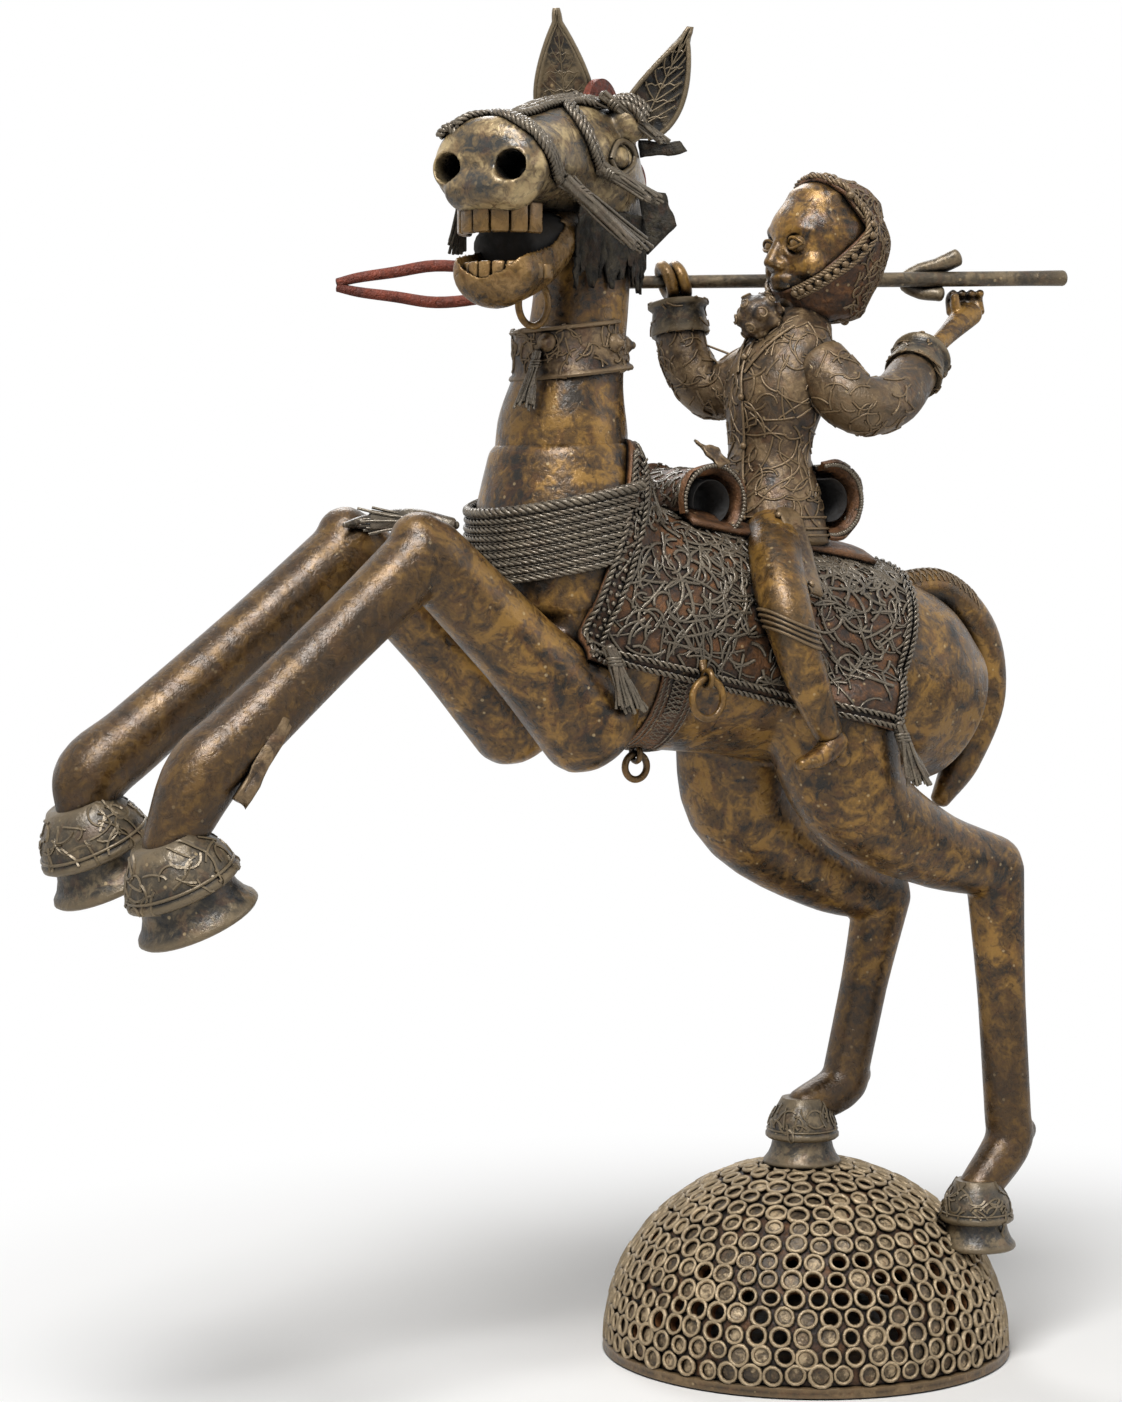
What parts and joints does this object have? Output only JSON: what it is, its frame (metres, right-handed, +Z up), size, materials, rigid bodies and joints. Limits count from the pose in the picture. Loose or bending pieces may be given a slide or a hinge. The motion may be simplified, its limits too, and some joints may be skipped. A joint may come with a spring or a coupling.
{
  "type": "horse and rider figure",
  "caption": "Cast bronze table ornament: a rearing horse in full harness on a pierced dome, its bearded rider holding a lance.",
  "frame": {"origin": "centre of the base plate's underside, where the figure rests", "axes": "+Z up; the horse's body faces -X and its left (near) side is towards -Y"},
  "size_m": [0.4506, 0.1775, 0.549],
  "materials": {
    "ochre_bronze": "cast bronze, mottled ochre and brown patina, semi-gloss",
    "dark_bronze": "cast bronze, dark blue-grey patina in the relief",
    "pale_bronze": "cast bronze, pale brown patina on the rings, dark between them",
    "golden_bronze": "cast bronze, rubbed golden",
    "rusty_iron": "forged iron, dull rust red"
  },
  "bodies": {
    "figure": {"base_plate": "pale_bronze", "dome_shell": "pale_bronze", "horse_body": "ochre_bronze", "neck_root": "ochre_bronze", "neck": "ochre_bronze", "neck_collar": "dark_bronze", "horse_head": "ochre_bronze", "lower_jaw": "golden_bronze", "upper_teeth": "golden_bronze", "lower_teeth": "golden_bronze", "ear_near": "dark_bronze", "ear_far": "dark_bronze", "mane_crest": "rusty_iron", "throat_skirt": "dark_bronze", "fore_arm_near": "ochre_bronze", "fore_cannon_near": "ochre_bronze", "fore_hoof_near": "dark_bronze", "fore_arm_far": "ochre_bronze", "fore_cannon_far": "ochre_bronze", "fore_hoof_far": "dark_bronze", "thigh_near": "ochre_bronze", "shank_near": "ochre_bronze", "hind_hoof_near": "dark_bronze", "hoof_screw_near": "pale_bronze", "thigh_far": "ochre_bronze", "shank_far": "ochre_bronze", "hind_hoof_far": "dark_bronze", "hoof_screw_far": "pale_bronze", "bridle": "dark_bronze", "bridle_tassel_far": "dark_bronze", "saddle_cloth": "dark_bronze", "tail": "ochre_bronze", "breast_band": "dark_bronze", "girth": "dark_bronze", "cloth_tassel_front": "dark_bronze", "cloth_tassel_rear": "dark_bronze", "collar_tassel": "dark_bronze", "saddle_seat": "dark_bronze", "saddle_pommel": "dark_bronze", "saddle_cantle": "dark_bronze", "rider_coat": "ochre_bronze", "rider_head": "ochre_bronze", "rider_headdress": "dark_bronze", "rider_beard": "dark_bronze", "rider_arm_near": "ochre_bronze", "rider_cuff_near": "dark_bronze", "rider_hand_near": "ochre_bronze", "rider_leg_near": "ochre_bronze", "rider_foot_near": "ochre_bronze", "rider_arm_far": "ochre_bronze", "rider_cuff_far": "dark_bronze", "rider_hand_far": "ochre_bronze", "rider_leg_far": "ochre_bronze", "rider_foot_far": "ochre_bronze"},
    "bridle_ring": {"bridle_ring": "ochre_bronze"},
    "saddle_ring": {"saddle_ring": "ochre_bronze"},
    "girth_ring": {"girth_ring": "ochre_bronze"},
    "lance": {"lance_shaft": "dark_bronze", "lance_head": "rusty_iron", "lance_hook": "ochre_bronze"}
  },
  "joints": [
    {"name": "bridle_ring_swing", "type": "hinge", "parent": "figure", "child": "bridle_ring", "pos_m": [-0.15827, -0.03769, 0.4413], "axis": [0.848, -0.53, 0], "range_deg": [-45, 40]},
    {"name": "saddle_ring_swing", "type": "hinge", "parent": "figure", "child": "saddle_ring", "pos_m": [-0.102, -0.074, 0.2893], "axis": [1, 0, 0], "range_deg": [-80, 35]},
    {"name": "girth_ring_swing", "type": "hinge", "parent": "figure", "child": "girth_ring", "pos_m": [-0.108, -0.033, 0.2583], "axis": [1, 0, 0], "range_deg": [-65, 65]},
    {"name": "lance_slide", "type": "slide", "parent": "figure", "child": "lance", "axis": [-0.9441, 0.3288, -0.0253], "range_m": [0, 0.035]}
  ]
}
